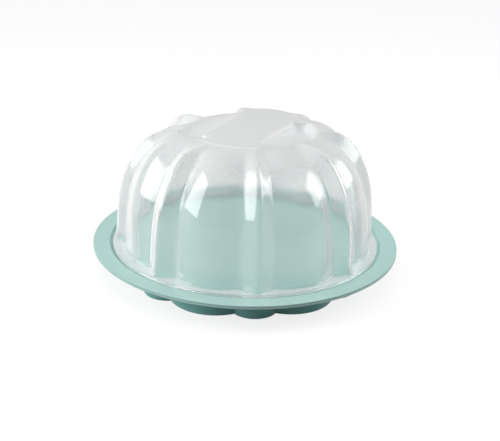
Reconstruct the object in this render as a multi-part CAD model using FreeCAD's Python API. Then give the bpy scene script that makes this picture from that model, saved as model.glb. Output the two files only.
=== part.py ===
"""Cake keeper: a clear fluted cover that stands in the channel of a round tray with a fluted foot.

Millimetres. The origin is on the axis at the level the foot stands on, +Z is up, and one ridge of
the cover faces -Y. Angles are measured from -Y towards +X. Tray and cover are each one moulding.
"""
import math
import os

import FreeCAD
import Part
from FreeCAD import Vector

# Tray: disc for the cake, channel for the cover's lip, broad rim with a grooved edge
TRAY_R = 170.0
RIM_TOP = 31.8
RIM_INNER_TOP = 30.8
EDGE_LOW = 27.9
CHANNEL_R = 152.0
CHANNEL_FLOOR = 24.0
DISC_R = 129.0
DISC_TOP = 26.0
TRAY_WALL = 2.6

# Foot of fourteen lobes: seven narrow ones, the first at the front, and a broad one after each
FOOT_LOBE_R = 138.0
FOOT_CUSP_R = 127.8
FOOT_REPEATS = 7
FOOT_STEP = 360.0 / FOOT_REPEATS
FOOT_CUSP_ANGLE = 9.6
FOOT_FLARE = 3.0
FOOT_WALL = 2.6

# Cover: flange and lip, then eight ridges with flutes between them, up to a shoulder around a low disc
WALL = 2.0
FLANGE_R = 148.6
FLANGE_TOP = 31.8
FLANGE_ROUND = 2.2
LIP_WALL = 2.4
REST_GAP = 0.2
RIDGES = 8
STEP = 360.0 / RIDGES
VALLEY_ANGLE = 7.5
CREST_ANGLE = 0.9
CREST_SHARE = 0.926
SHOULDER = 156.9
PLATEAU = 158.0
CROWN_R = 66.5
CROWN_RISE = 1.6

# Radius and height from the flange to the shoulder: along a ridge's crest, along the valleys of the
# full flutes that meet the ends of the grip bar, of the leaner ones beside the finger pockets, and of
# the flute behind the bar, which fills out towards the shoulder until its ridges nearly fade
CREST = [(146.3, 30.5), (142.7, 71.3), (136.8, 103.5), (126.7, 127.2),
         (116.0, 142.4), (101.0, 153.5), (84.0, 157.3), (65.0, SHOULDER)]
FULL_VALLEY = [(133.4, 30.5), (131.4, 71.3), (124.5, 107.6), (114.2, 128.2),
               (103.5, 141.9), (91.5, 151.3), (79.0, 156.0), (65.0, SHOULDER)]
LEAN_VALLEY = [(133.4, 30.5), (131.4, 71.3), (123.5, 103.5), (115.0, 123.2),
               (106.0, 134.8), (95.0, 143.3), (80.0, 149.2), (65.0, SHOULDER)]
BACK_VALLEY = [(133.4, 30.5), (131.4, 71.3), (125.7, 107.2), (117.3, 128.0),
               (109.1, 142.1), (98.2, 152.8), (83.0, 157.0), (65.0, SHOULDER)]
STATIONS = [0.0, 0.26, 0.46, 0.61, 0.73, 0.85, 0.94, 1.0]
FLUTES = [LEAN_VALLEY, LEAN_VALLEY, FULL_VALLEY, BACK_VALLEY,
          LEAN_VALLEY, LEAN_VALLEY, FULL_VALLEY, FULL_VALLEY]

# A flute's middle lies between valley and crest: its share of the way at the foot and at the top
FOOT_SHARE = 0.5
TOP_SHARES = [0.3, 0.3, 0.6, 1.0, 0.3, 0.3, 1.0, 1.0]

# Two finger pockets beside the grip bar, each a ramp that falls from its tip to its deep end.
# The outer edge is given as angle from the bar's end and radius.
BAR_TURN = -30.7
BAR_HALF = 33.2
POCKET_EDGE = [(18, 67), (53, 62.5), (76, 64), (106, 70), (131, 74), (160, 72)]
POCKET_TIP = -55.6
POCKET_SLOPE = 0.12
POCKET_ROUND = 4.0


def at(radius, angle, z):
    """Point at an angle measured from -Y towards +X."""
    a = math.radians(angle)
    return Vector(radius * math.sin(a), -radius * math.cos(a), z)


def between(a, b, low, high):
    """Profile between two others, at a share that runs from low at the foot to high at the top."""
    shares = [low + (high - low) * s for s in STATIONS]
    return [(p[0] + s * (q[0] - p[0]), p[1] + s * (q[1] - p[1])) for p, q, s in zip(a, b, shares)]


def inset(profile, depth):
    """Profile moved inwards square to itself, its foot carried down below the lip."""
    moved = []
    last = len(profile) - 1
    for i, (r, z) in enumerate(profile):
        a = profile[max(i - 1, 0)]
        b = profile[min(i + 1, last)]
        run = math.hypot(b[0] - a[0], b[1] - a[1])
        moved.append((r - depth * (b[1] - a[1]) / run, z + depth * (b[0] - a[0]) / run))
    moved[0] = (moved[0][0], CHANNEL_FLOOR - 1.0)
    moved[last] = (profile[last][0] - WALL / 2, SHOULDER - WALL)
    return moved


def meridian(profile, angle):
    """Smooth curve through a profile, standing in the upright plane at an angle."""
    curve = Part.BSplineCurve()
    curve.interpolate(Points=[at(r, angle, z) for r, z in profile], Parameters=STATIONS)
    return curve


def strip(*curves):
    """Face across two curves, straight, or across three, bowed to pass through the middle one."""
    rows = [c.getPoles() for c in curves]
    if len(rows) == 3:
        rows[1] = [m * 2 - (a + b) * 0.5 for a, m, b in zip(*rows)]
    n = len(rows)
    first = curves[0]
    surface = Part.BSplineSurface()
    surface.buildFromPolesMultsKnots(rows, [n, n], first.getMultiplicities(), [0.0, 1.0],
                                     first.getKnots(), False, False, n - 1, first.Degree)
    return surface.toShape()


def fluted_body(crest, valleys):
    """Closed body of the dome: ridges with rounded crests, flat flanks, and bowed flutes between them."""
    faces = []
    for k in range(RIDGES):
        a = k * STEP
        before = between(valleys[k - 1], crest, CREST_SHARE, CREST_SHARE)
        after = between(valleys[k], crest, CREST_SHARE, CREST_SHARE)
        flute = between(valleys[k], crest, FOOT_SHARE, TOP_SHARES[k])
        lines = [meridian(before, a - CREST_ANGLE), meridian(crest, a), meridian(after, a + CREST_ANGLE),
                 meridian(valleys[k], a + VALLEY_ANGLE), meridian(flute, a + STEP / 2),
                 meridian(valleys[k], a + STEP - VALLEY_ANGLE), meridian(after, a + STEP - CREST_ANGLE)]
        faces.append(strip(lines[0], lines[1], lines[2]))
        faces.append(strip(lines[2], lines[3]))
        faces.append(strip(lines[3], lines[4], lines[5]))
        faces.append(strip(lines[5], lines[6]))
    for end in (crest[0][1], crest[-1][1]):
        rim = [e for f in faces for e in f.Edges
               if abs(e.BoundBox.ZMin - end) < 1e-6 and abs(e.BoundBox.ZMax - end) < 1e-6]
        faces.append(Part.Face(Part.Wire(Part.__sortEdges__(rim))))
    shell = Part.makeShell(faces)
    shell.sewShape()
    solid = Part.makeSolid(shell)
    if solid.Volume < 0:
        solid.reverse()
    return solid


def spun(outline):
    """Body turned about the axis from a closed wire in the XZ plane."""
    return Part.Face(outline).revolve(Vector(0, 0, 0), Vector(0, 0, 1), 360)


def crown(radius, level):
    """Shallow cap of the disc, its edge at a level and its foot sunk in the shoulder."""
    bend = (radius ** 2 + CROWN_RISE ** 2) / (2 * CROWN_RISE)
    half = math.sqrt(bend ** 2 - (radius / 2) ** 2) - bend + CROWN_RISE
    arc = Part.Arc(Vector(0, 0, level + CROWN_RISE), at(radius / 2, 90, level + half),
                   at(radius, 90, level))
    low = level - PLATEAU + SHOULDER - 0.5
    foot = Part.makePolygon([at(radius, 90, level), at(radius, 90, low), Vector(0, 0, low),
                             Vector(0, 0, level + CROWN_RISE)])
    return spun(Part.Wire([arc.toShape()] + foot.Edges))


def pocket(grow):
    """Room for the fingers on one side of the bar, swollen on all sides by a thickness."""
    low = PLATEAU - 30.0
    edge = Part.BSplineCurve()
    edge.interpolate([at(r + grow, a, low) for a, r in POCKET_EDGE])
    ends = [edge.EndPoint, edge.StartPoint]
    room = Part.Face(Part.Wire([edge.toShape(), Part.makeLine(*ends)])).extrude(Vector(0, 0, 40))
    room = room.common(Part.makeBox(100, 200, 60, Vector(BAR_HALF - grow, -100, low - 5)))
    fall = math.atan(POCKET_SLOPE)
    above = Part.makeBox(200, 400, 60, Vector(-50, -200, 0))
    above.rotate(Vector(0, 0, 0), Vector(1, 0, 0), -math.degrees(fall))
    above.translate(Vector(0, POCKET_TIP, PLATEAU - grow / math.cos(fall)))
    room = room.common(above)
    floor = min(room.Faces, key=lambda f: f.CenterOfMass.z)
    room = room.makeFillet(POCKET_ROUND + grow, floor.Edges)
    room.rotate(Vector(0, 0, 0), Vector(0, 0, 1), BAR_TURN)
    return room


def with_pockets(body, grow):
    """Body with a pocket cut on each side of the bar, half a turn apart."""
    for turn in (0, 180):
        room = pocket(grow)
        room.rotate(Vector(0, 0, 0), Vector(0, 0, 1), turn)
        body = body.cut(room)
    return body


def make_cover():
    body = with_pockets(fluted_body(CREST, FLUTES).fuse(crown(CROWN_R, PLATEAU)), 0.0)
    low = CHANNEL_FLOOR + REST_GAP
    under = FLANGE_TOP - WALL - 0.6
    inner = FLANGE_R - LIP_WALL
    turn = FLANGE_ROUND * (1 - math.sqrt(0.5))
    edge = Part.Arc(at(FLANGE_R - FLANGE_ROUND, 90, FLANGE_TOP), at(FLANGE_R - turn, 90, FLANGE_TOP - turn),
                    at(FLANGE_R, 90, FLANGE_TOP - FLANGE_ROUND)).toShape()
    lip = Part.makePolygon([at(FLANGE_R, 90, FLANGE_TOP - FLANGE_ROUND), at(FLANGE_R, 90, low),
                            at(inner, 90, low), at(inner, 90, under), Vector(0, 0, under),
                            Vector(0, 0, FLANGE_TOP), at(FLANGE_R - FLANGE_ROUND, 90, FLANGE_TOP)])
    body = body.fuse(spun(Part.Wire([edge] + lip.Edges))).removeSplitter()
    hollow = fluted_body(inset(CREST, WALL * 1.25), [inset(v, WALL) for v in FLUTES])
    hollow = with_pockets(hollow.fuse(crown(CROWN_R - WALL, PLATEAU - WALL)), WALL)
    return body.cut(hollow)


def lobed_wire(grow, z):
    """Outline of the foot, bow by bow, at a level."""
    edges = []
    for k in range(FOOT_REPEATS):
        a = k * FOOT_STEP
        marks = [a - FOOT_CUSP_ANGLE, a + FOOT_CUSP_ANGLE, a + FOOT_STEP - FOOT_CUSP_ANGLE]
        for p, q in zip(marks, marks[1:]):
            edges.append(Part.Arc(at(FOOT_CUSP_R + grow, p, z), at(FOOT_LOBE_R + grow, (p + q) / 2, z),
                                  at(FOOT_CUSP_R + grow, q, z)).toShape())
    return Part.Wire(Part.__sortEdges__(edges))


def lobed_body(grow, low, high):
    return Part.makeLoft([lobed_wire(grow, low), lobed_wire(grow + FOOT_FLARE, high)], True, True)


def make_tray():
    under = CHANNEL_FLOOR - TRAY_WALL
    outline = [(0, DISC_TOP), (DISC_R, DISC_TOP), (DISC_R + 2, CHANNEL_FLOOR),
               (CHANNEL_R - 1.2, CHANNEL_FLOOR), (CHANNEL_R - 0.3, RIM_INNER_TOP - 0.7),
               (CHANNEL_R + 0.4, RIM_INNER_TOP),
               (TRAY_R - 2.0, RIM_TOP), (TRAY_R - 0.8, RIM_TOP - 0.4), (TRAY_R - 0.1, RIM_TOP - 1.2),
               (TRAY_R - 0.1, RIM_TOP - 1.5), (TRAY_R - 0.8, RIM_TOP - 1.8), (TRAY_R - 0.8, RIM_TOP - 2.1),
               (TRAY_R, RIM_TOP - 2.4), (TRAY_R, EDGE_LOW + 0.5), (TRAY_R - 0.5, EDGE_LOW),
               (TRAY_R - TRAY_WALL, EDGE_LOW), (TRAY_R - TRAY_WALL, RIM_TOP - TRAY_WALL),
               (CHANNEL_R + TRAY_WALL, RIM_INNER_TOP - TRAY_WALL), (CHANNEL_R + TRAY_WALL - 1.2, under),
               (DISC_R, under), (DISC_R - 2, DISC_TOP - TRAY_WALL), (0, DISC_TOP - TRAY_WALL)]
    points = [at(r, 90, z) for r, z in outline]
    plate = spun(Part.makePolygon(points + points[:1]))
    foot = lobed_body(0.0, 0.0, under + 1.0).cut(lobed_body(-FOOT_WALL, 0.0, under + 1.0))
    return plate.fuse(foot).removeSplitter()


os.makedirs("parts", exist_ok=True)
for name, shape in (("base_tray", make_tray()), ("dome_cover", make_cover())):
    print(name, "solids", len(shape.Solids), "valid", shape.isValid(), "faces", len(shape.Faces),
          "volume cm3 %.1f" % (shape.Volume / 1000))
    shape.exportStep("parts/%s.step" % name)
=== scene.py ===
import math

import bpy
import numpy as np
from mathutils import Matrix, Vector


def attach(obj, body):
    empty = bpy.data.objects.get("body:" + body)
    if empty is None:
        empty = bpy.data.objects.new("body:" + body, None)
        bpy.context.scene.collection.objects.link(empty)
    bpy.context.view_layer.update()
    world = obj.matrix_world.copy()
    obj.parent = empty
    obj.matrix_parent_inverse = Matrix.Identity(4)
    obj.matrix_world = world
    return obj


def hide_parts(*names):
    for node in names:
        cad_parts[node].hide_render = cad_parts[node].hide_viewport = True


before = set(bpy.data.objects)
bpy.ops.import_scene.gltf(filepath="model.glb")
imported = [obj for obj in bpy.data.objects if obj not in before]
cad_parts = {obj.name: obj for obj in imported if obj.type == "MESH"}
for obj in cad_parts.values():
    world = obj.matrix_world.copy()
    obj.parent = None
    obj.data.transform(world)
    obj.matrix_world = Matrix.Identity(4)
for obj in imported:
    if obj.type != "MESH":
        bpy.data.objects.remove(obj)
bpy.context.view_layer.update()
bpy.ops.object.select_all(action="DESELECT")

# The tray's plate, one moulding in mint green plastic with a satin skin. A flat disc for the cake, a
# channel round it that takes the cover's lip, and a broad rim, a little raised towards its outer edge,
# which turns down in a beaded skirt with a groove above the bead. Sizes are in millimetres.
MM = 0.001
TRAY_R = 170.0
RIM_TOP = 31.8
RIM_INNER = 30.8
RIM_EDGE = TRAY_R - 0.1
BEAD_EDGE = TRAY_R - 0.05
GROOVE_DEPTH = 1.5
GROOVE_HALF = 0.5
GROOVE_Z = RIM_TOP - 1.8
EDGE_LOW = 27.9
CHANNEL_R = 152.0
CHANNEL_FLOOR = 24.0
CHANNEL_LEAN = 1.2
DISC_R = 129.0
DISC_TOP = 26.0
DISC_SLOPE = 2.0
TRAY_WALL = 2.6
PLATE_STEPS = 192


def eased(corners, steps=5):
    """Outline with each corner (radius, height, rounding) turned on an arc."""
    line = []
    for i, (r, z, bend) in enumerate(corners):
        here = Vector((r, z))
        if bend == 0 or i in (0, len(corners) - 1):
            line.append(here)
            continue
        a = Vector(corners[i - 1][:2]) - here
        b = Vector(corners[i + 1][:2]) - here
        half = a.angle(b) / 2
        reach = min(bend / math.tan(half), 0.49 * a.length, 0.49 * b.length)
        radius = reach * math.tan(half)
        middle = here + (a.normalized() + b.normalized()).normalized() * (radius / math.sin(half))
        start = here + a.normalized() * reach - middle
        end = here + b.normalized() * reach - middle
        sweep = start.angle_signed(end)
        for k in range(steps + 1):
            turn = Matrix.Rotation(-sweep * k / steps, 2)
            line.append(middle + turn @ start)
    return line


under = CHANNEL_FLOOR - TRAY_WALL
plate_line = eased([
    (0, DISC_TOP, 0), (DISC_R, DISC_TOP, 0.8), (DISC_R + DISC_SLOPE, CHANNEL_FLOOR, 1.0),
    (CHANNEL_R - CHANNEL_LEAN, CHANNEL_FLOOR, 1.5), (CHANNEL_R - 0.1, RIM_INNER, 0.8),
    (RIM_EDGE, RIM_TOP, 1.2), (RIM_EDGE, GROOVE_Z + GROOVE_HALF, 0.25),
    (TRAY_R - GROOVE_DEPTH, GROOVE_Z, 0.3), (BEAD_EDGE, GROOVE_Z - GROOVE_HALF, 0.4),
    (BEAD_EDGE, EDGE_LOW, 0.7),
    (TRAY_R - TRAY_WALL, EDGE_LOW, 0.5), (TRAY_R - TRAY_WALL, RIM_TOP - TRAY_WALL, 1.0),
    (CHANNEL_R + TRAY_WALL, RIM_INNER - TRAY_WALL, 1.0), (CHANNEL_R + TRAY_WALL - CHANNEL_LEAN, under, 2.0),
    (DISC_R, under, 1.0), (DISC_R - DISC_SLOPE, DISC_TOP - TRAY_WALL, 1.0), (0, DISC_TOP - TRAY_WALL, 0)])
plate_line = [Vector((p.x, 0, p.y)) * MM for p in plate_line]

bpy.ops.mesh.primitive_plane_add(size=0.001)
tray = bpy.context.object
tray.name = "tray"
bpy.ops.object.mode_set(mode="EDIT")
bpy.ops.mesh.merge(type="CENTER")
bpy.ops.transform.translate(value=plate_line[0])
for here, there in zip(plate_line, plate_line[1:]):
    bpy.ops.mesh.extrude_vertices_move(TRANSFORM_OT_translate={"value": there - here})
bpy.ops.mesh.select_all(action="SELECT")
bpy.ops.mesh.spin(steps=PLATE_STEPS, angle=2 * math.pi, center=(0, 0, 0), axis=(0, 0, 1))
bpy.ops.mesh.select_all(action="SELECT")
bpy.ops.mesh.remove_doubles(threshold=0.000002)
bpy.ops.mesh.normals_make_consistent(inside=False)
bpy.ops.object.mode_set(mode="OBJECT")

# The tray's foot, moulded in one with the plate: a thin wall that runs in fourteen bows, seven narrow
# ones, the first at the front, and a broad one after each, and leans out a little as it rises. It is
# hollow inside and stands on its rounded lower edge.
FOOT_LOBE_R = 138.0
FOOT_CUSP_R = 127.8
FOOT_REPEATS = 7
FOOT_STEP = 360.0 / FOOT_REPEATS
FOOT_CUSP_ANGLE = 9.6
FOOT_FLARE = 3.0
FOOT_TOP = under + 0.8
FOOT_WALL = 2.6
BOW_STEPS = 20
SHARP_ANGLE = 38.0


def around(radius, angle, z=0.0):
    """Point at an angle in degrees from the front, towards the right."""
    a = math.radians(angle)
    return Vector((radius * math.sin(a), -radius * math.cos(a), z))


def foot_bow(start, end, grow):
    """Points along one bow of the foot, from cusp to cusp, the last left for the next bow."""
    a = around(FOOT_CUSP_R + grow, start)
    b = around(FOOT_CUSP_R + grow, end)
    peak = around(FOOT_LOBE_R + grow, (start + end) / 2)
    chord = (b - a) / 2
    rise = (peak - (a + b) / 2).length
    radius = (chord.length ** 2 + rise ** 2) / (2 * rise)
    out = (peak - (a + b) / 2).normalized()
    middle = peak - out * radius
    half = math.asin(chord.length / radius)
    side = chord.normalized()
    for k in range(BOW_STEPS):
        t = half * (2 * k / BOW_STEPS - 1)
        yield middle + (side * math.sin(t) + out * math.cos(t)) * radius


def foot_ring(grow, z):
    """One turn round the foot at a height."""
    ring = []
    for k in range(FOOT_REPEATS):
        front = FOOT_STEP * k
        marks = [front - FOOT_CUSP_ANGLE, front + FOOT_CUSP_ANGLE, front + FOOT_STEP - FOOT_CUSP_ANGLE]
        for start, end in zip(marks, marks[1:]):
            ring += [Vector((p.x, p.y, z)) * MM for p in foot_bow(start, end, grow)]
    return ring


# growth and height of each ring: the rounded lower edge, then the leaning wall
foot_levels = [(-1.2, 0.0), (-0.45, 0.12), (-0.05, 0.5), (0.13, 1.0)]
foot_levels += [(FOOT_FLARE * z / FOOT_TOP, z) for z in (5.0, 10.0, 15.0, 19.0, FOOT_TOP)]
bpy.ops.object.select_all(action="DESELECT")
bpy.ops.mesh.primitive_circle_add(vertices=2 * FOOT_REPEATS * BOW_STEPS, radius=FOOT_LOBE_R * MM)
foot = bpy.context.object
foot.name = "foot"
for k, (grow, z) in enumerate(foot_levels):
    if k > 0:
        bpy.ops.object.mode_set(mode="EDIT")
        bpy.ops.mesh.extrude_edges_move(TRANSFORM_OT_translate={"value": (0, 0, 0.001)})
        bpy.ops.object.mode_set(mode="OBJECT")
    fresh = [v for v in foot.data.vertices if v.select]
    fresh.sort(key=lambda v: v.index)
    for v, spot in zip(fresh, foot_ring(grow, z)):
        v.co = spot
bpy.ops.object.mode_set(mode="EDIT")
bpy.ops.mesh.select_all(action="SELECT")
bpy.ops.mesh.normals_make_consistent(inside=False)
bpy.ops.object.mode_set(mode="OBJECT")
wall = foot.modifiers.new("wall", "SOLIDIFY")
wall.thickness = FOOT_WALL * MM
wall.offset = -1.0
wall.use_even_offset = True
bpy.ops.object.modifier_apply(modifier="wall")
tray.select_set(True)
bpy.context.view_layer.objects.active = tray
bpy.ops.object.join()
bpy.ops.object.shade_smooth_by_angle(angle=math.radians(SHARP_ANGLE))
even = tray.modifiers.new("even", "WEIGHTED_NORMAL")
even.keep_sharp = True
bpy.ops.object.modifier_apply(modifier="even")

# The tray's plastic is a soft mint with faint clouds in it and a fine satin grain. From the plate's
# underside down, on the foot, it is painted a deeper, more saturated teal as painted shade for the shade
# under the rim.
PLASTIC_IOR = 1.49
MINT = (0.418, 0.628, 0.588, 1)
PALE_MINT = (0.440, 0.652, 0.612, 1)
# painted shade: the foot's deeper teal stands for the shade under the rim, not for a different plastic
FOOT_SHADE_TEAL = (0.29, 0.66, 0.62, 1)


def noise(tree, place, scale, detail):
    """Value of a cloudy pattern at a place."""
    node = tree.nodes.new("ShaderNodeTexNoise")
    node.inputs["Scale"].default_value = scale
    node.inputs["Detail"].default_value = detail
    tree.links.new(place, node.inputs["Vector"])
    return node.outputs["Fac"]


def ramp(tree, value, stops):
    """Colour that a value picks from stops of (value, colour)."""
    node = tree.nodes.new("ShaderNodeValToRGB")
    marks = node.color_ramp.elements
    for mark, (at, color) in zip(marks, (stops[0], stops[-1])):
        mark.position = at
        mark.color = color
    for at, color in stops[1:-1]:
        marks.new(at).color = color
    tree.links.new(value, node.inputs["Fac"])
    return node.outputs["Color"]


def spread(tree, value, start, end, low=0.0, high=1.0, curve="LINEAR"):
    """Value that runs from low to high while another runs from start to end."""
    node = tree.nodes.new("ShaderNodeMapRange")
    node.interpolation_type = curve
    for socket, number in (("From Min", start), ("From Max", end), ("To Min", low), ("To Max", high)):
        node.inputs[socket].default_value = number
    tree.links.new(value, node.inputs["Value"])
    return node.outputs["Result"]


def mixed(tree, share, base, over):
    """Colour that goes over from a base to another one by a share."""
    node = tree.nodes.new("ShaderNodeMix")
    node.data_type = "RGBA"
    node.inputs["B"].default_value = over
    tree.links.new(share, node.inputs["Factor"])
    tree.links.new(base, node.inputs["A"])
    return node.outputs["Result"]


def height_of(tree, place):
    """Height of a place, in metres."""
    node = tree.nodes.new("ShaderNodeSeparateXYZ")
    tree.links.new(place, node.inputs["Vector"])
    return node.outputs["Z"]


mint = bpy.data.materials.new("mint plastic")
mint.use_nodes = True
tree = mint.node_tree
satin = tree.nodes["Principled BSDF"]
satin.inputs["IOR"].default_value = PLASTIC_IOR
satin.inputs["Specular IOR Level"].default_value = 0.3
place = tree.nodes.new("ShaderNodeTexCoord").outputs["Object"]
clouds = noise(tree, place, 14.0, 4.0)
tint = ramp(tree, clouds, [(0.3, MINT), (0.7, PALE_MINT)])
# painted shade on the foot, from the plate's underside down
in_foot_shade = spread(tree, height_of(tree, place), 0.0235, 0.0195, curve="SMOOTHSTEP")
tree.links.new(mixed(tree, in_foot_shade, tint, FOOT_SHADE_TEAL), satin.inputs["Base Color"])
grain = noise(tree, place, 900.0, 3.0)
tree.links.new(spread(tree, grain, 0.0, 1.0, 0.30, 0.42), satin.inputs["Roughness"])
relief = tree.nodes.new("ShaderNodeBump")
relief.inputs["Strength"].default_value = 0.05
relief.inputs["Distance"].default_value = 0.0002
tree.links.new(grain, relief.inputs["Height"])
tree.links.new(relief.outputs["Normal"], satin.inputs["Normal"])
tray.data.materials.clear()
tray.data.materials.append(mint)
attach(tray, "tray")
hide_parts("base_tray")

# The cover, one moulding in clear plastic about two millimetres thick. A lip stands in the tray's channel,
# a narrow flange runs round it, and from that rises a dome of eight ridges with bowed flutes between them.
# On top is a low disc whose two finger pockets leave a straight grip bar between them.
FLANGE_R = 148.6
FLANGE_TOP = 31.8
FLANGE_BEND = 2.2
FLANGE_LOW = 29.2
FLANGE_CORNER = 0.5
LIP_R = 146.2
LIP_LOW = 24.2
LIP_MIDDLE = 26.5
LIP_BEVEL = 0.4
WALL = 2.0
WALL_FOOT_BEND = 0.8
WALL_FOOT_HOLLOW = 2.0
RIDGES = 8
FLUTE_TURN = 360.0 / RIDGES
VALLEY_ANGLE = 7.5
CREST_ANGLE = 0.9
CREST_SHARE = 0.926
ROUNDING = 0.8
SHOULDER = 156.9
STATIONS = [0.0, 0.26, 0.46, 0.61, 0.73, 0.85, 0.94, 1.0]
CREST = [(146.3, 30.5), (142.7, 71.3), (136.8, 103.5), (126.7, 127.2),
         (116.0, 142.4), (101.0, 153.5), (84.0, 157.3), (65.0, SHOULDER)]
FULL_VALLEY = [(133.4, 30.5), (131.4, 71.3), (124.5, 107.6), (114.2, 128.2),
               (103.5, 141.9), (91.5, 151.3), (79.0, 156.0), (65.0, SHOULDER)]
LEAN_VALLEY = [(133.4, 30.5), (131.4, 71.3), (123.5, 103.5), (115.0, 123.2),
               (106.0, 134.8), (95.0, 143.3), (80.0, 149.2), (65.0, SHOULDER)]
BACK_VALLEY = [(133.4, 30.5), (131.4, 71.3), (125.7, 107.2), (117.3, 128.0),
               (109.1, 142.1), (98.2, 152.8), (83.0, 157.0), (65.0, SHOULDER)]
FLUTES = [LEAN_VALLEY, LEAN_VALLEY, FULL_VALLEY, BACK_VALLEY,
          LEAN_VALLEY, LEAN_VALLEY, FULL_VALLEY, FULL_VALLEY]
FOOT_SHARE = 0.5
TOP_SHARES = [0.3, 0.3, 0.6, 1.0, 0.3, 0.3, 1.0, 1.0]
SAMPLES = np.linspace(0.0, 1.0, 401)


def smooth_line(marks, values, wanted):
    """Values of the smoothest cubic curve through some marks, at the wanted places."""
    x = np.asarray(marks, float)
    y = np.asarray(values, float)
    gap = np.diff(x)
    n = len(x)
    m = np.zeros((n, n))
    b = np.zeros(n)
    m[0, :3] = gap[1], -(gap[0] + gap[1]), gap[0]
    m[-1, -3:] = gap[-1], -(gap[-2] + gap[-1]), gap[-2]
    for i in range(1, n - 1):
        m[i, i - 1:i + 2] = gap[i - 1], 2 * (gap[i - 1] + gap[i]), gap[i]
        b[i] = 6 * ((y[i + 1] - y[i]) / gap[i] - (y[i] - y[i - 1]) / gap[i - 1])
    bend = np.linalg.solve(m, b)
    w = np.clip(wanted, x[0], x[-1])
    i = np.clip(np.searchsorted(x, w, side="right") - 1, 0, n - 2)
    h, p, q = gap[i], x[i + 1] - w, w - x[i]
    return (bend[i] * p ** 3 + bend[i + 1] * q ** 3) / (6 * h) \
        + (y[i] / h - bend[i] * h / 6) * p + (y[i + 1] / h - bend[i + 1] * h / 6) * q


def meridian(profile, angle):
    """Points up the dome along one profile, standing at an angle."""
    r = smooth_line(STATIONS, [p[0] for p in profile], SAMPLES)
    z = smooth_line(STATIONS, [p[1] for p in profile], SAMPLES)
    a = math.radians(angle)
    return np.stack([r * math.sin(a), -r * math.cos(a), z], 1)


def part_way(a, b, low, high):
    """Profile between two others, its share of the way running from low at the foot to high at the top."""
    shares = [low + (high - low) * s for s in STATIONS]
    return [(p[0] + s * (q[0] - p[0]), p[1] + s * (q[1] - p[1])) for p, q, s in zip(a, b, shares)]


def beside_crest(flute, angle):
    """Points up the dome just beside a crest, where the flute's flank starts."""
    return meridian(part_way(flute, CREST, CREST_SHARE, CREST_SHARE), angle)


def bowed(a, m, b, t):
    """Curve from a to b that passes m half way."""
    middle = 2 * m - (a + b) / 2
    return a * (1 - t) ** 2 + middle * 2 * t * (1 - t) + b * t ** 2


# Columns across one flute, in degrees from its first crest: close together at crests and valleys, wider
# on the bow between them. Two flutes have more of them where the pockets' deep ends close.
turns = [0.0, 0.18, 0.36, 0.54, 0.72, 0.9, 1.1, 1.35, 1.7, 2.3, 3.2, 4.2, 5.2, 6.0, 6.5, 6.8]
turns += [7.05, 7.25, 7.5, 7.75, 7.95, 8.2, 8.6, 9.2, 10.2, 11.6]
turns += [13.1 + 1.88 * k for k in range(6)]
turns = sorted(set(turns + [round(FLUTE_TURN - t, 3) for t in turns if t > 0]))
pocket_turns = [t for t in turns if t < 28.6 or t > 35.6]
pocket_turns = sorted(pocket_turns + [28.9 + 0.42 * k for k in range(16)])
POCKET_FLUTES = (2, 6)

columns = []
for k, flute in enumerate(FLUTES):
    first = FLUTE_TURN * k
    second = first + FLUTE_TURN
    before = beside_crest(FLUTES[k - 1], first - CREST_ANGLE)
    crest = meridian(CREST, first)
    after = beside_crest(flute, first + CREST_ANGLE)
    valley = meridian(flute, first + VALLEY_ANGLE)
    bow = meridian(part_way(flute, CREST, FOOT_SHARE, TOP_SHARES[k]), first + FLUTE_TURN / 2)
    next_valley = meridian(flute, second - VALLEY_ANGLE)
    next_before = beside_crest(flute, second - CREST_ANGLE)
    next_crest = meridian(CREST, second)
    next_after = beside_crest(FLUTES[(k + 1) % RIDGES], second + CREST_ANGLE)
    for t in pocket_turns if k in POCKET_FLUTES else turns:
        to_next = FLUTE_TURN - t
        if t <= CREST_ANGLE:
            line = bowed(before, crest, after, 0.5 + 0.5 * t / CREST_ANGLE)
        elif t <= VALLEY_ANGLE:
            line = after + (valley - after) * (t - CREST_ANGLE) / (VALLEY_ANGLE - CREST_ANGLE)
        elif to_next >= VALLEY_ANGLE:
            line = bowed(valley, bow, next_valley, (t - VALLEY_ANGLE) / (FLUTE_TURN - 2 * VALLEY_ANGLE))
        elif to_next >= CREST_ANGLE:
            share = (VALLEY_ANGLE - to_next) / (VALLEY_ANGLE - CREST_ANGLE)
            line = next_valley + (next_before - next_valley) * share
        else:
            share = 0.5 * (CREST_ANGLE - to_next) / CREST_ANGLE
            line = bowed(next_before, next_crest, next_after, share)
        columns.append((first + t, line))
angles = np.array([angle for angle, line in columns])
apart = (angles[:, None] - angles[None, :] + 180) % 360 - 180
column_widths = (np.roll(angles, -1) - np.roll(angles, 1)) % 360


def evened(sheet, degrees):
    """Columns of points, each evened out with its neighbours over a few degrees."""
    shares = np.exp(-0.5 * (apart / degrees) ** 2) * column_widths
    return np.tensordot(shares / shares.sum(1)[:, None], sheet, 1)


# Crests and valleys are rounded over about four millimetres, and the inner face of the dome stands a wall's
# thickness inside the outer one
outer = evened(np.stack([line for angle, line in columns]), ROUNDING)
radius = np.hypot(outer[:, :, 0], outer[:, :, 1])
slope_r = np.gradient(radius, axis=1)
slope_z = np.gradient(outer[:, :, 2], axis=1)
length = np.hypot(slope_r, slope_z)
shrink = (radius - WALL * slope_z / length) / radius
inner = outer * np.stack([shrink, shrink, np.ones_like(shrink)], 2)
inner[:, :, 2] += WALL * slope_r / length


def on_wall(line, share):
    """Point of the dome's line, a share of the way up it."""
    return np.array([np.interp(share, SAMPLES, line[:, i]) for i in range(3)])


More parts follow.
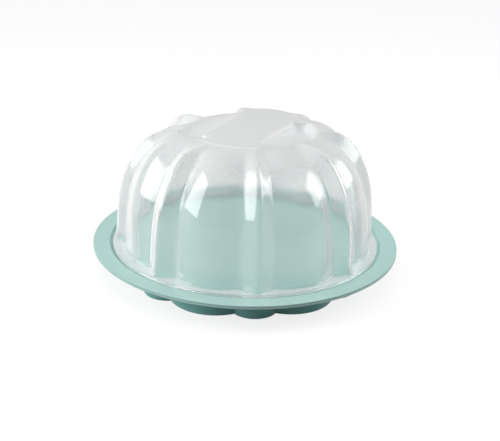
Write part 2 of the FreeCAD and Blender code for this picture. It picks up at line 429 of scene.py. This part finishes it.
def inner_foot(line):
    """Share of the line at which the wall starts, and the rings (radius, height, paleness) that lead there
    from the lip's lower edge on the inner skin."""
    start = float(np.interp(FLANGE_LOW + WALL_FOOT_BEND, line[:, 2], SAMPLES))
    x, y, z = on_wall(line, start)
    wall_r = math.hypot(x, y)
    lip = [(LIP_R, LIP_LOW + LIP_BEVEL), (LIP_R, LIP_MIDDLE), (LIP_R, FLANGE_LOW - FLANGE_CORNER)]
    corner = [(LIP_R - 0.3 * FLANGE_CORNER, FLANGE_LOW - 0.3 * FLANGE_CORNER)]
    flange = [(LIP_R - FLANGE_CORNER, FLANGE_LOW), (wall_r + WALL_FOOT_BEND, FLANGE_LOW)]
    bend = [(wall_r + 0.3 * WALL_FOOT_BEND, FLANGE_LOW + 0.3 * WALL_FOOT_BEND)]
    return start, [(r, z, 0.0) for r, z in lip + corner + flange + bend]


def outer_foot(line):
    """The same on the outer skin, over the flange's rounded edge and into the hollow at the wall's foot."""
    flat_r = FLANGE_R - FLANGE_BEND
    foot_r = float(np.interp(FLANGE_TOP, line[:, 2], np.hypot(line[:, 0], line[:, 1])))
    hollow = min(WALL_FOOT_HOLLOW, max(0.15, 0.6 * (flat_r - foot_r)))
    start = float(np.interp(FLANGE_TOP + hollow, line[:, 2], SAMPLES))
    x, y, z = on_wall(line, start)
    wall_r = math.hypot(x, y)
    # on the outer skin the paleness is partly milkiness of the flat flange and partly painted highlight
    # along its rounded edge and in the hollow at the wall's foot
    ring = [(FLANGE_R - LIP_BEVEL, LIP_LOW, 0.0), (FLANGE_R, LIP_LOW + LIP_BEVEL, 0.0)]
    ring += [(FLANGE_R, LIP_MIDDLE, 0.1)]
    for k in range(6):
        t = math.pi / 2 * k / 5
        edge_z = FLANGE_TOP - FLANGE_BEND * (1 - math.sin(t))
        ring.append((flat_r + FLANGE_BEND * math.cos(t), edge_z, 0.1 + 0.2 * math.sin(t)))
    flat = flat_r - wall_r - hollow
    ring += [(flat_r - flat * k / 4, FLANGE_TOP, 0.15) for k in (1, 2, 3)]
    for k in range(5):
        t = math.pi / 2 * k / 5
        ring.append((wall_r + hollow * (1 - math.sin(t)), FLANGE_TOP + hollow * (1 - math.cos(t)), 0.35))
    return start, ring


# The top of the cover: the disc with its low rounded step, the bar across it, and the two pockets, whose
# outer sides are marked by (degrees from the bar, radius). The pale lines are painted highlights, white
# where the light would catch along the side ridges, the disc's front edge and the bar's edges.
PLATEAU = 158.0
DISC_EDGE = 66.5
DISC_LIMIT = 1.4
CROWN_RISE = 1.58
STEP_OUT = 5.0
STEP_IN = 4.0
STEP_CLEAR = 1.6
STEP_FADE = 2.2
DOME_END = 65.2
BAR_TURN = -30.7
BAR_HALF = 33.2
BAR_LINE = 1.3
BAR_LINE_END = 1.9
EDGE_BEND = 1.3
INNER_EDGE_BEND = 0.4
POCKET_EDGE = [(18, 67), (53, 62.5), (76, 64), (106, 70), (131, 74), (160, 72)]
POCKET_TIP = -55.6
POCKET_SLOPE = 0.12
POCKET_BEND = 6.0
POCKET_RUN = 21.0
POCKET_GAP = 1.9
FAR_BEND = 3.5
FAR_INSET = 0.3
CORNER = 2.8
PLAIN_START = 1.7
PLAIN_RUN = 16.0
STEP_ROWS = 10
ROUND_ROWS = 4
FLOOR_ROWS = 5
FAR_ROWS = 12
TOP_ROWS = 7
INNER_WALL_ROWS = 30
OUTER_WALL_ROWS = 42
# strength of the painted highlight on each ridge's crest, strongest on the two side ridges and faint at the
# front
RIDGE_HIGHLIGHT = [0.1, 1.0, 0.4, 0.3, 0.3, 0.3, 0.3, 1.0]
FRONT_LINE_END = 52.0
FRONT_LINE_FADE = 8.0


def ease(x):
    """Smooth way from 0 to 1."""
    x = min(max(x, 0.0), 1.0)
    return x * x * (3 - 2 * x)


def swung(low, low_slope, high, high_slope, t):
    """Height on a curve that leaves one level and meets another, each at its own slope."""
    return low + (high - low) * ease(t) + (1 - t) * t * (low_slope * (1 - t) - high_slope * t)


def ridge_highlight(angle):
    """How strong the painted highlight on the ridge's band is at an angle."""
    off = (angle + FLUTE_TURN / 2) % FLUTE_TURN - FLUTE_TURN / 2
    band = 0.8 * math.exp(-(off / 0.9) ** 2) + 0.2 * math.exp(-(off / 2.4) ** 2)
    return band * RIDGE_HIGHLIGHT[round((angle - off) / FLUTE_TURN) % RIDGES]


def column_points(angle, line, inset, wall_rows):
    """One column of the cover's skin, from the lip's lower edge up to the middle of the disc, each point
    with its paleness, its share of painted highlight and, on the flange, of milkiness. The outer skin has
    no inset, the inner one a wall's thickness."""
    reach = np.hypot(line[:, 0], line[:, 1])
    shoulder_from = len(SAMPLES) // 2
    top_edge = DISC_EDGE - inset
    shows = 1.0 if inset == 0 else 0.0
    points = []

    def put(r, z, pale=0.0, turn=math.radians(angle)):
        points.append((r * math.sin(turn), -r * math.cos(turn), z, pale * shows))

    def on_dome(r):
        return float(np.interp(-r, -reach[shoulder_from:], line[shoulder_from:, 2]))

    def dome_slope(r):
        return on_dome(r + 0.5) - on_dome(r - 0.5)

    def on_disc(r):
        return PLATEAU - inset + CROWN_RISE * (1 - (r / top_edge) ** 2)

    # lip and flange, up to where the wall rises
    start, ring = inner_foot(line) if inset else outer_foot(line)
    x, y, z = on_wall(line, start)
    for r, z, pale in ring:
        put(r, z, pale, math.atan2(x, -y))

    # how far this column crosses a pocket, and whether the pocket cuts past the disc's edge
    bar = (angle - BAR_TURN) % 180.0
    near = BAR_HALF / max(math.sin(math.radians(bar)), 0.05) - inset
    far = float(smooth_line([p[0] for p in POCKET_EDGE], [p[1] for p in POCKET_EDGE], bar))
    far += FAR_INSET * inset
    width = far - near
    pocket = ease(width / POCKET_RUN) if POCKET_EDGE[0][0] < bar < POCKET_EDGE[-1][0] else 0.0
    edge_bend = INNER_EDGE_BEND if inset else EDGE_BEND
    beyond = far + FAR_BEND
    stepped = 1 - pocket * ease((beyond - top_edge + STEP_CLEAR) / STEP_FADE)

    # wall, then the disc's low rounded step, or plain wall where a pocket runs past the disc
    step_low = max(top_edge + STEP_OUT, (beyond + POCKET_GAP) * pocket)
    step_high = max(top_edge - STEP_IN, beyond * pocket)
    stop = float(np.interp(-step_low, -reach, SAMPLES))
    # the wall rows carry the painted highlight bands along the ridge crests
    for k in range(wall_rows):
        share = start + (stop - start) * k / (wall_rows - 1)
        points.append((*on_wall(line, share), ridge_highlight(angle) * shows))
    low = on_dome(step_low)
    high = on_disc(min(step_high, top_edge - DISC_LIMIT))
    run = step_high - step_low
    high_slope = -2 * CROWN_RISE * step_high / top_edge ** 2
    front = ease((FRONT_LINE_END - abs((angle + 180) % 360 - 180)) / FRONT_LINE_FADE)
    for k in range(1, STEP_ROWS + 1):
        t = k / STEP_ROWS
        r = step_low + run * t
        z = swung(low, dome_slope(step_low) * run, high, high_slope * run, t)
        # painted highlight along the disc's rounded step, strongest at the front
        highlight_line = math.exp(-((t - 0.5) / 0.16) ** 2) * (0.1 + 0.9 * front)
        put(r, z * stepped + on_dome(r) * (1 - stepped), stepped * highlight_line)

    # pocket: its gentle outer side, the floor, a rounded corner, and the bar's wall with its rounded edge
    def on_floor(r):
        return PLATEAU - inset - POCKET_SLOPE * (-r * math.cos(math.radians(bar)) - POCKET_TIP)

    far_top = on_disc(min(beyond, top_edge - DISC_LIMIT)) * stepped
    far_top += on_dome(max(beyond, DOME_END)) * (1 - stepped)
    far_slope = dome_slope(max(beyond, DOME_END + 0.8)) * (1 - stepped)
    floor_slope = POCKET_SLOPE * math.cos(math.radians(bar))
    bend = min(POCKET_BEND + inset, max(0.1, 0.35 * width))
    rise = max(on_disc(near) - on_floor(near), 0.05)
    dip = -FAR_BEND - bend
    room = []
    for k in range(FAR_ROWS + 1):
        t = k / FAR_ROWS
        z = swung(far_top, far_slope * dip, on_floor(far - bend), floor_slope * dip, t)
        room.append((beyond + dip * t, z, 0.0))
    for k in range(1, FLOOR_ROWS):
        r = far - bend - (width - 2 * bend) * k / FLOOR_ROWS
        room.append((r, on_floor(r), 0.0))
    # the pocket's rounded corner gets a faint painted highlight, and the bar's rounded edge a strong one
    quarter = [math.pi / 2 * k / ROUND_ROWS for k in range(ROUND_ROWS + 1)]
    for t in quarter:
        r = near + bend * (1 - math.sin(t))
        room.append((r, on_floor(r) + min(bend, 0.5 * rise) * (1 - math.cos(t)), 0.1))
    for t in quarter:
        r = near - edge_bend * (1 - math.cos(t))
        room.append((r, on_disc(r) - min(edge_bend, 0.45 * rise) * (1 - math.sin(t)), 0.9))
    for k, (r, z, pale) in enumerate(room):
        plain = top_edge - PLAIN_START - PLAIN_RUN * k / (len(room) - 1)
        put(r * pocket + plain * (1 - pocket), z * pocket + on_disc(plain) * (1 - pocket), pale * pocket)

    # the disc's crowned top, in to its middle
    last = (near - edge_bend) * pocket + (top_edge - PLAIN_START - PLAIN_RUN) * (1 - pocket)
    # painted highlight on the bar's top just inside its rounded edge
    put(last - BAR_LINE, on_disc(last - BAR_LINE), pocket)
    last -= BAR_LINE_END
    for k in range(TOP_ROWS + 1):
        r = last * (1 - k / TOP_ROWS)
        put(r, on_disc(r))
    return points


# Both skins of the cover. On the top the corners of the pockets are rounded in plan, and under the lip one
# more row joins the skins.
rows_on_top = FAR_ROWS + FLOOR_ROWS + 2 * (ROUND_ROWS + 1) + TOP_ROWS + 2
skins = []
for inset, lines, wall_rows in ((WALL, inner, INNER_WALL_ROWS), (0.0, outer, OUTER_WALL_ROWS)):
    sheet = np.array([column_points(angle, line, inset, wall_rows) for angle, line in zip(angles, lines)])
    step_from = sheet.shape[1] - STEP_ROWS - rows_on_top
    strength = np.clip((np.arange(sheet.shape[1]) - step_from) / STEP_ROWS, 0, 1)[None, :, None]
    skins.append(sheet * (1 - strength) + evened(sheet, CORNER) * strength)
under_lip = skins[0][:, :1] * (LIP_R + LIP_BEVEL) / LIP_R
under_lip[:, :, 2] = LIP_LOW
skin_points = np.concatenate([skins[0][:, ::-1], under_lip, skins[1]], 1)
across, up = skin_points.shape[:2]
bpy.ops.object.select_all(action="DESELECT")
bpy.ops.mesh.primitive_grid_add(x_subdivisions=across, y_subdivisions=up - 1, size=1.0)
cover = bpy.context.object
cover.name = "cover"
# each point's share of painted highlight, kept on the mesh for the material
highlight_edge = cover.data.attributes.new("painted highlight", "FLOAT", "POINT")
for v in cover.data.vertices:
    row, column = divmod(v.index, across + 1)
    x, y, z, pale = skin_points[column % across][row]
    v.co = (MM * x, MM * y, MM * z)
    highlight_edge.data[v.index].value = pale
bpy.ops.object.mode_set(mode="EDIT")
bpy.ops.mesh.select_all(action="SELECT")
bpy.ops.mesh.remove_doubles(threshold=0.000004)
bpy.ops.mesh.normals_make_consistent(inside=False)
bpy.ops.object.mode_set(mode="OBJECT")
bpy.ops.object.shade_smooth_by_angle(angle=math.radians(50))

# The cover's plastic is clear with a slight haze. The haze shows more where the wall is seen at a slant and
# in the milky top, less in the thin flange, and the pale lines are painted highlights, nearly white.
CLEAR = (0.86, 0.87, 0.87, 1)
HAZE_COLOURS = [(0.10, CLEAR), (0.60, (0.79, 0.80, 0.805, 1)),
                (0.80, (0.95, 0.96, 0.965, 1)), (0.92, (0.98, 0.98, 0.98, 1))]
TOP_GREY = (0.83, 0.835, 0.84, 1)
# colour of the painted highlight lines
HIGHLIGHT_WHITE = (0.98, 0.98, 0.98, 1)


def reckon(tree, operation, *terms):
    """Value worked out from terms, each a number or another value."""
    node = tree.nodes.new("ShaderNodeMath")
    node.operation = operation
    for socket, term in zip(node.inputs, terms):
        if isinstance(term, float):
            socket.default_value = term
        else:
            tree.links.new(term, socket)
    return node.outputs["Value"]


clear = bpy.data.materials.new("clear plastic")
clear.use_nodes = True
tree = clear.node_tree
glass = tree.nodes["Principled BSDF"]
glass.inputs["IOR"].default_value = PLASTIC_IOR
place = tree.nodes.new("ShaderNodeTexCoord").outputs["Object"]
facing = tree.nodes.new("ShaderNodeLayerWeight").outputs["Facing"]
painted = tree.nodes.new("ShaderNodeAttribute")
painted.attribute_name = "painted highlight"
edge = painted.outputs["Fac"]
level_place = tree.nodes.new("ShaderNodeVectorMath")
level_place.operation = "MULTIPLY"
level_place.inputs[1].default_value = (1, 1, 0)
tree.links.new(place, level_place.inputs[0])
from_axis = tree.nodes.new("ShaderNodeVectorMath")
from_axis.operation = "LENGTH"
tree.links.new(level_place.outputs["Vector"], from_axis.inputs[0])

top = spread(tree, from_axis.outputs["Value"], 0.122, 0.082, curve="SMOOTHSTEP")
above_flange = spread(tree, height_of(tree, place), 0.032, 0.044, 0.66, 1.0, curve="SMOOTHSTEP")
slanted = spread(tree, facing, 0.26, 0.66, 0.10, 0.86, curve="SMOOTHSTEP")
turned = spread(tree, facing, 0.22, 0.42, 0.0, 0.96, curve="SMOOTHSTEP")
# painted highlight: the pale lines turn white and opaque where the surface turns away from the view
painted_highlight = reckon(tree, "MULTIPLY", turned, edge)
walled = reckon(tree, "MULTIPLY", slanted, above_flange)
hazy = reckon(tree, "MAXIMUM", walled, reckon(tree, "MULTIPLY", top, 0.70))
cloudy = reckon(tree, "MAXIMUM", hazy, painted_highlight)
tree.links.new(reckon(tree, "SUBTRACT", 1.0, cloudy), glass.inputs["Transmission Weight"])
gloss = spread(tree, noise(tree, place, 18.0, 3.0), 0.0, 1.0, 0.07, 0.11)
gloss = reckon(tree, "MULTIPLY_ADD", edge, 0.03, gloss)
gloss = reckon(tree, "MULTIPLY_ADD", top, 0.28, gloss)
tree.links.new(gloss, glass.inputs["Roughness"])
milk = mixed(tree, top, ramp(tree, hazy, HAZE_COLOURS), TOP_GREY)
# the base colour goes white along the painted highlight lines
tree.links.new(mixed(tree, painted_highlight, milk, HIGHLIGHT_WHITE), glass.inputs["Base Color"])

# light that passes through to the tray is only tinted
rays = tree.nodes.new("ShaderNodeLightPath").outputs
through = tree.nodes.new("ShaderNodeBsdfTransparent")
through.inputs["Color"].default_value = CLEAR
either = tree.nodes.new("ShaderNodeMixShader")
tree.links.new(rays["Is Shadow Ray"], either.inputs["Fac"])
tree.links.new(glass.outputs["BSDF"], either.inputs[1])
tree.links.new(through.outputs["BSDF"], either.inputs[2])
tree.links.new(either.outputs["Shader"], tree.nodes["Material Output"].inputs["Surface"])
cover.data.materials.clear()
cover.data.materials.append(clear)
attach(cover, "cover")
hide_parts("dome_cover")

# The stage: a plain white floor that keeps the object's shadow, a pale surround that is brightest overhead,
# and a soft box on the left and on the right.
FLOOR_GREY = (0.28, 0.28, 0.28, 1)
FLOOR_LIFT = 0.80
MIRRORED = 0.6
bpy.ops.object.select_all(action="DESELECT")
bpy.ops.mesh.primitive_plane_add(size=12.0, location=(0, 0, 0))
floor = bpy.context.object
floor.name = "floor"


def shown(tree):
    """1 for what the camera sees, straight or by way of the clear plastic, 0 for light on the object."""
    rays = tree.nodes.new("ShaderNodeLightPath").outputs
    seen = reckon(tree, "MAXIMUM", rays["Is Camera Ray"],
                  reckon(tree, "MULTIPLY", rays["Is Glossy Ray"], MIRRORED))
    seen = reckon(tree, "MAXIMUM", seen, rays["Is Transmission Ray"])
    return reckon(tree, "MULTIPLY", seen, reckon(tree, "LESS_THAN", rays["Diffuse Depth"], 0.5))


paint = bpy.data.materials.new("white floor")
paint.use_nodes = True
tree = paint.node_tree
tree.nodes.remove(tree.nodes["Principled BSDF"])
matt = tree.nodes.new("ShaderNodeBsdfDiffuse")
matt.inputs["Color"].default_value = FLOOR_GREY
glow = tree.nodes.new("ShaderNodeEmission")
tree.links.new(reckon(tree, "MULTIPLY", shown(tree), FLOOR_LIFT), glow.inputs["Strength"])
both = tree.nodes.new("ShaderNodeAddShader")
tree.links.new(matt.outputs["BSDF"], both.inputs[0])
tree.links.new(glow.outputs["Emission"], both.inputs[1])
tree.links.new(both.outputs["Shader"], tree.nodes["Material Output"].inputs["Surface"])
floor.data.materials.append(paint)

world = bpy.data.worlds.new("surround")
bpy.context.scene.world = world
world.use_nodes = True
tree = world.node_tree
air = tree.nodes["Background"]
air.inputs["Color"].default_value = (1.0, 1.0, 1.0, 1)
way = tree.nodes.new("ShaderNodeTexCoord").outputs["Generated"]
lean = tree.nodes.new("ShaderNodeVectorMath")
lean.operation = "DOT_PRODUCT"
lean.inputs[1].default_value = (0.0, -0.2, 0.98)
tree.links.new(way, lean.inputs[0])
ceiling = spread(tree, lean.outputs["Value"], 0.4, 1.0, 0.04, 1.0)
axes = tree.nodes.new("ShaderNodeSeparateXYZ")
tree.links.new(way, axes.inputs["Vector"])
backdrop = spread(tree, axes.outputs["Y"], -0.3, 0.3, 0.35, 1.0)
rays = tree.nodes.new("ShaderNodeLightPath").outputs
backdrop = reckon(tree, "MAXIMUM", backdrop, rays["Is Transmission Ray"])
brightness = tree.nodes.new("ShaderNodeMix")
tree.links.new(shown(tree), brightness.inputs["Factor"])
tree.links.new(ceiling, brightness.inputs["A"])
tree.links.new(backdrop, brightness.inputs["B"])
tree.links.new(brightness.outputs["Result"], air.inputs["Strength"])


def soft_box(name, bearing, height, distance, width, tall, power):
    """Lamp that looks at the object from a bearing, in degrees from the front towards the right."""
    lamp = bpy.data.lights.new(name, "AREA")
    lamp.shape = "RECTANGLE"
    lamp.size = width
    lamp.size_y = tall
    lamp.energy = power
    holder = bpy.data.objects.new(name, lamp)
    bpy.context.scene.collection.objects.link(holder)
    rise = math.radians(height)
    middle = Vector((0, 0, 0.1))
    stand = middle + around(distance * math.cos(rise), bearing, distance * math.sin(rise))
    facing_object = (middle - stand).to_track_quat("-Z", "Y").to_matrix().to_4x4()
    holder.matrix_world = Matrix.Translation(stand) @ facing_object


soft_box("box_left", -80, 22, 1.4, 0.95, 0.95, 15)
soft_box("box_right", 92, 25, 1.4, 0.95, 0.75, 9)

# The camera stands at the photograph's place, a little left of the front, and is tipped two degrees.
# Its focal length is in pixels of the photograph's width.
EYE = Vector((-0.09337, -0.94819, 0.44319))
AIM = Vector((0.00457, -0.00047, 0.05107))
TIP = math.radians(2.0)
FOCAL_PIXELS = 916.0
PHOTO_PIXELS = 500.0
back = (EYE - AIM).normalized()
level = Vector((0, 0, 1)).cross(back).normalized()
upright = back.cross(level)
right = level * math.cos(TIP) + upright * math.sin(TIP)
upward = upright * math.cos(TIP) - level * math.sin(TIP)
lens = bpy.data.cameras.new("camera")
lens.sensor_width = 36.0
lens.lens = FOCAL_PIXELS / PHOTO_PIXELS * lens.sensor_width
camera = bpy.data.objects.new("camera", lens)
bpy.context.scene.collection.objects.link(camera)
camera.matrix_world = Matrix(((right.x, upward.x, back.x, EYE.x), (right.y, upward.y, back.y, EYE.y),
                              (right.z, upward.z, back.z, EYE.z), (0, 0, 0, 1)))
bpy.context.scene.camera = camera
bpy.context.scene.view_settings.view_transform = "Standard"
